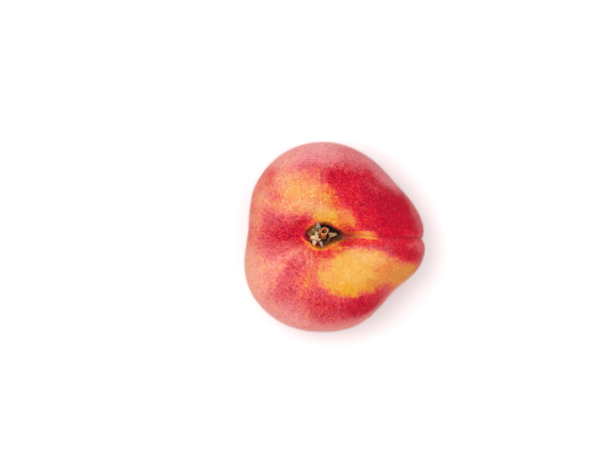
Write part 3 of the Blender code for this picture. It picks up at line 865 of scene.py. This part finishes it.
def stalk_profile():
    """Radius and height of the profile, and the way along it, from the foot over the rim into the hollow."""
    radius, height = np.array(STALK_PROFILE + STALK_FLOOR).T
    knots = np.append(0, np.cumsum(np.hypot(np.diff(radius), np.diff(height))))
    at = np.linspace(0, knots[-1], STALK_STEPS)
    radius, height = (np.interp(at, knots, column) for column in (radius, height))
    for _ in range(3):  # rounds the corners
        for column in (radius, height):
            column[1:-1] = (column[:-2] + 2 * column[1:-1] + column[2:]) / 4
    return radius, height, at


def stalk_points():
    """Rings of points up the side and down the hollow, their places in the bark, and how much each point is
    torn rim, hollow and pith."""
    radius, height, at = stalk_profile()
    rim = at[np.argmax(height)]
    angle = np.linspace(0, 2 * math.pi, STALK_SIDES, endpoint=False)
    angle, step = np.meshgrid(angle, np.arange(STALK_STEPS))
    radius, height, at = radius[step], height[step], at[step]
    rise = height / max(top for _, top in STALK_PROFILE)
    torn = sum(share * np.sin(waves * angle + start) for waves, start, share in STALK_TORN)
    radius = radius * (1 + rise * torn)
    waves, start, rough = STALK_RAGGED
    height = height + rough * np.sin(waves * angle + start) * rise**2

    # Fibres run up the side; at the torn rim they stand up unevenly.
    ring = columns(np.cos(angle), np.sin(angle), height) * STALK_GRAIN
    fibre = noises(ring, FIBRES)
    splinter = noises(ring * (1, 1, 0), SPLINTERS)
    width, tall, raised = STALK_EDGE
    edge = np.exp(-(((at - rim) / width) ** 2))
    radius = radius + STALK_FIBRE * fibre
    height = height + edge * (tall * splinter + raised)
    start, stop, deep = STALK_HOLLOW
    hollow = smooth_step(start, stop, at - rim)
    height = height - deep * hollow * (1 + 0.4 * splinter)
    bearing, half, tall = PITH
    pith = hollow * np.exp(-((radius * np.sin(angle - math.radians(bearing)) / half) ** 2))
    height = height + pith * tall * (1 + 0.5 * fibre)
    lean = rise**STALK_BEND
    east, north = STALK_LEAN
    points = columns(radius * np.cos(angle) + east * lean, radius * np.sin(angle) + north * lean, height)
    bark = columns(np.cos(angle), np.sin(angle), height)
    return points, bark.reshape(-1, 3), edge, hollow, pith


def build_stalk(foot, material):
    """The broken stalk end."""
    points, bark, torn, hollow, pith = stalk_points()
    faces = tube_faces(STALK_STEPS, STALK_SIDES)
    stalk = mesh_from("stalk_end", (with_ends(points) + foot) * MM, faces, material)
    keep(
        stalk.data, bark=np.append(bark, np.zeros((2, 3)), axis=0), torn=np.append(torn, (0, 0)),
        hollow=np.append(hollow, (0, 1)), pith=np.append(pith, (0, 1)),
    )
    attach(stalk, "root")
    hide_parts("stalk_stub")


# The scales' colours.
CREAM, BONE, TAN, GOLD = (226, 182, 138), (214, 176, 148), (176, 128, 82), (196, 126, 54)
OLIVE, GREY, RUST, BROWN = (136, 112, 56), (166, 162, 140), (164, 84, 52), (96, 56, 32)

# The long scales: bearing of the root, middle, tip and width, as in the construction, and their colour.
LONG_SCALES = (
    (133, (-1.9, 3.1, 5), (-2.1, 5.2, 7), 1.7, GREY),
    (140, (-2.5, 1.7, 4.4), (-4.3, 2.5, 4.4), 1.9, OLIVE),
    (168, (-3.4, 0.9, 3.2), (-5.6, 1.1, 4.2), 1.9, OLIVE),
    (188, (-3.2, -0.8, 3.4), (-5.2, -0.8, 3.6), 1.8, RUST),
    (118, (-1.8, 3.2, 3.6), (-3.6, 3.8, 4.4), 1.3, RUST),
    (139, (-2.9, 2.9, 7), (-2.6, -0.8, 4.9), 1.3, CREAM),
    (186, (-0.4, -0.6, 5.6), (-4.7, -0.2, 4.6), 2.2, CREAM),
    (200, (-3.3, -0.6, 6), (-3.7, -3.2, 4.4), 2, BONE),
    (250, (-1.5, -0.9, 5.8), (-0.3, -4, 4.5), 1, GREY),
    (10, (1.7, 0.4, 6.2), (4.7, 1, 4.4), 1.8, TAN),
)
# Thin scraps of scale between the long ones, in the same terms.
SCRAPS = (
    (150, (-1.4, 0.2, 5.2), (-1.4, 2.9, 4.6), 0.9, GOLD),
    (214, (-0.9, -0.2, 5.4), (-1.9, -1.6, 4.4), 1.2, CREAM),
)
# The short scales, all round between the long ones: for each row how many, seed, radius, heights and widths.
SHORT_ROWS = (
    (11, 7, 2.25, (1.5, 2.6), (1.4, 1.9)),
    (15, 21, 2, (0.9, 1.7), (0.9, 1.4)),
    (17, 5, 2.5, (0.8, 1.5), (1, 1.5)),
)
SHORT_TONES = (TAN, OLIVE, BROWN, BROWN, GREY)
SHORT_OUT = (0.1, 0.6)  # how far they lean out
SHORT_UNDER = 0.5  # how much of their height they lose under the stalk end


def scale_material():
    """Dry papery scale: ribs along it, a browned foot, bleached edges and dark flecks."""
    n = Nodes("dry_scale")
    place = n.place()
    blade = n.attribute("blade", "Vector")
    across, along, _ = n.parts(blade)
    tone = n.attribute("tone", "Color")
    fibre = n.grain(n.stretch(blade, 3, 0.6, 1), 1.6, 4, 0.65)
    colour = n.shade(1, tone, n.remap(fibre, 0.25, 0.75, 0.7, 1.25))
    foot = n.remap(n.line(n.grain(place, 1.2), 0.3, along), 0.6, 0.15)
    colour = n.tint(n.times(foot, 0.85), colour, (70, 38, 24))
    fleck = n.remap(n.grain(place, 1.5, 3, 0.7), 0.54, 0.68)
    colour = n.tint(n.times(fleck, 0.65), colour, (130, 68, 40))
    colour = n.tint(n.remap(n.math("ABSOLUTE", across), 0.7, 1, 0, 0.45), colour, (246, 222, 184))
    n.surface(
        Base_Color=colour, Roughness=n.remap(fibre, 0.3, 0.7, 0.9, 0.65), Specular_IOR_Level=0.25,
        Normal=n.bump(n.grain(n.stretch(blade, 4, 0.5, 1), 2.5, 4, 0.7), 0.14),
        Subsurface_Weight=0.15, Subsurface_Radius=(0.5, 0.35, 0.2), Subsurface_Scale=0.8 * MM,
    )
    return n.material


def collar_point(bearing, radius, height):
    """A point (mm) at a bearing, radius and height from the middle of the collar's foot."""
    angle = math.radians(bearing)
    return np.array((radius * math.cos(angle), radius * math.sin(angle), height))


def scale_points(root, middle, tip, width, thickness, seed):
    """One scale as rings of points, each with its place across and along the blade. It is cupped, ribbed and
    bent, and torn at its tip."""
    turn = np.linspace(0, 2 * math.pi, SCALE_SIDES, endpoint=False)
    t, turn = np.meshgrid(np.linspace(0, 1, SCALE_STEPS), turn, indexing="ij")
    u = np.cos(turn)
    torn = noises(columns(u * 2.2, seed * 3.7, 0), SCALE_TEARS)
    reach = (t * (1 + SCALE_TORN * torn * smooth_step(0.45, 1, t)))[..., None]
    centre = root * (1 - reach) ** 2 + middle * (2 * reach * (1 - reach)) + tip * reach**2
    along = unit((middle - root) * (1 - t[..., None]) + (tip - middle) * t[..., None])
    across = np.cross(tip - root, (0, 0, 1))
    across /= np.linalg.norm(across)
    least, more, start, run, power = SCALE_TAPER
    half = width / 2 * (least + more * np.sin(math.pi * (start + run * t)) ** power)
    half = half * (1 + SCALE_RAGGED * noise_at(columns(t * 5, seed * 1.3, np.sign(u)), 0.8))
    thin = thickness * (1 - SCALE_THIN[0] * t) * (1 - SCALE_THIN[1] * np.abs(u) ** 3)
    rib = SCALE_RIBS[0] * np.cos(u * SCALE_RIBS[1] + seed)
    bend = SCALE_BEND * noise_at(columns(u, t * 2.2, seed * 2.1), 1) * t
    out = thin / 2 * np.sin(turn) + SCALE_CUP[0] * half * u**2 - SCALE_CUP[1] * half + rib + bend
    points = centre + across * (half * u)[..., None] + np.cross(across, along) * out[..., None]
    return points, columns(u, t, seed)


def room_under_stalk(bearing):
    """What share of its height a short scale keeps."""
    away = math.radians(bearing) - math.atan2(STALK_LEAN[1], STALK_LEAN[0])
    return 1 - SHORT_UNDER * max(0, math.cos(away)) ** 2


def scale_list():
    """Root, middle, tip, width, thickness and colour of every scale."""
    ring = sum(COLLAR) / 2
    for bearing, middle, tip, width, tone in LONG_SCALES + SCRAPS:
        root = collar_point(bearing, ring, SCALE_ROOT)
        yield root, np.array(middle), np.array(tip), width, LONG_THICK, tone
    for count, seed, radius, heights, widths in SHORT_ROWS:
        draw = random.Random(seed)
        for i in range(count):
            bearing = 360 * (i + draw.uniform(-0.25, 0.25)) / count
            height = draw.uniform(*heights) * room_under_stalk(bearing)
            out = radius + draw.uniform(*SHORT_OUT)
            tone = draw.choice(SHORT_TONES)
            places = (radius, SCALE_ROOT), (out, height / 2), (out, height)
            root, middle, tip = (collar_point(bearing, *place) for place in places)
            yield root, middle, tip, draw.uniform(*widths), SHORT_THICK, tone


def build_scales(foot, material):
    """All the dry bud scales as one piece."""
    points, faces, blades, tones, start = [], [], [], [], 0
    for seed, (*shape, tone) in enumerate(scale_list()):
        found, blade = scale_points(*shape, seed + 1)
        points.append(with_ends(found))
        faces.append(tube_faces(SCALE_STEPS, SCALE_SIDES, start))
        blades += [blade.reshape(-1, 3), ((0, 0, seed), (0, 1, seed))]
        tones.append(np.tile(linear(*tone), (len(points[-1]), 1)))
        start += len(points[-1])
    scales = mesh_from("dry_scales", (np.concatenate(points) + foot) * MM, np.concatenate(faces), material)
    keep(scales.data, blade=np.concatenate(blades), tone=np.concatenate(tones))
    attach(scales, "root")
    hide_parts("bud_scales")


def build_floor():
    """The pale floor, just under the fruit."""
    n = Nodes("pale_floor")
    n.surface(Base_Color=FLOOR_COLOUR, Roughness=0.9, Specular_IOR_Level=0.1)
    corners = np.array(((-1, -1, 0), (1, -1, 0), (1, 1, 0), (-1, 1, 0))) * FLOOR_HALF
    floor = mesh_from("floor", corners + (0, 0, FLOOR_HEIGHT), np.array(((0, 1, 2, 3),)), n.material)


def build_light():
    """Soft square lights that face the fruit, strongest from the upper left, and an even white surround."""
    for name, (place, size, energy) in LIGHTS.items():
        light = bpy.data.lights.new(name, "AREA")
        light.size = size
        light.energy = energy
        lamp = add_object(name, light)
        lamp.location = place
        lamp.rotation_euler = (Vector(LIGHT_AIM) - Vector(place)).to_track_quat("-Z", "Y").to_euler()
    world = bpy.data.worlds.new("surround")
    world.use_nodes = True
    background = world.node_tree.nodes["Background"].inputs
    background["Color"].default_value = (1, 1, 1, 1)
    background["Strength"].default_value = SURROUND
    bpy.context.scene.world = world
    bpy.context.scene.view_settings.view_transform = "Standard"


def build_camera():
    """Looks straight down, with the photograph's framing: the fruit has its place and size there."""
    data = bpy.data.cameras.new("camera")
    data.sensor_width = SENSOR
    data.lens = SENSOR * CAMERA_HEIGHT / (FRAME_WIDTH * PIXEL)
    data.clip_start = 0.01
    camera = add_object("camera", data)
    x, y, z = FRAME_CENTRE
    camera.location = (x * MM, y * MM, (z + CAMERA_HEIGHT) * MM)
    bpy.context.scene.camera = camera


def main():
    skin, base = build_skin(skin_material())
    map_skin(skin)
    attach(skin, "root")
    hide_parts("fruit")
    stub_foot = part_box("stalk_stub")[0].z / MM
    foot = np.array((*(np.array(COLLAR_AT) - base[:2]), stub_foot))
    build_stalk(foot + (*STALK_AT, 0), stalk_material())
    build_scales(foot, scale_material())
    build_down(skin, down_material())
    build_floor()
    build_light()
    build_camera()


main()
